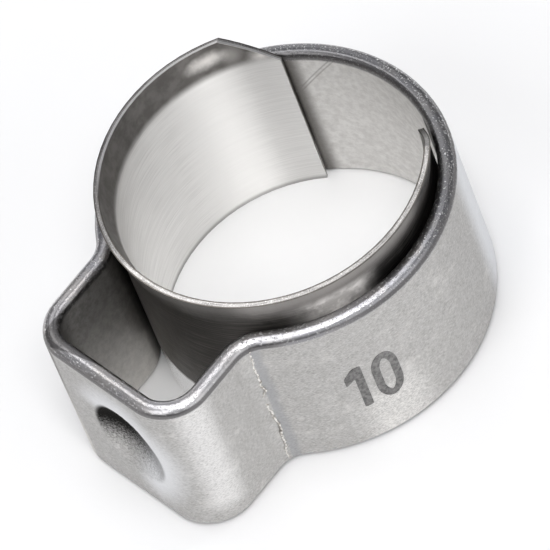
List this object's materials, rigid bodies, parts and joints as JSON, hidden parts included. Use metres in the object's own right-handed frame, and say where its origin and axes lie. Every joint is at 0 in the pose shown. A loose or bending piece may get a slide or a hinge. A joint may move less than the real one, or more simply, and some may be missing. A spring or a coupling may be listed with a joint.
{
  "type": "ear hose clamp",
  "caption": "Steel ear hose clamp: a closed flat band with one pressed, dimpled ear, and a thin open inner ring with a flared collar that bridges the gap under the ear.",
  "frame": {"origin": "centre of the bore, at half the band's width", "axes": "+Z along the bore's axis towards the inner ring's collar, -Y from the bore towards the ear, +X to the right seen from the collar with the ear towards the viewer"},
  "size_m": [0.0118, 0.0147, 0.0078],
  "materials": {
    "band_steel": "fine matt from tumbling, with bright rounded edges",
    "ring_steel": "rolled, brushed along the strip"
  },
  "bodies": {
    "root": {"clamp_band": "band_steel", "inner_ring": "ring_steel"}
  },
  "joints": []
}
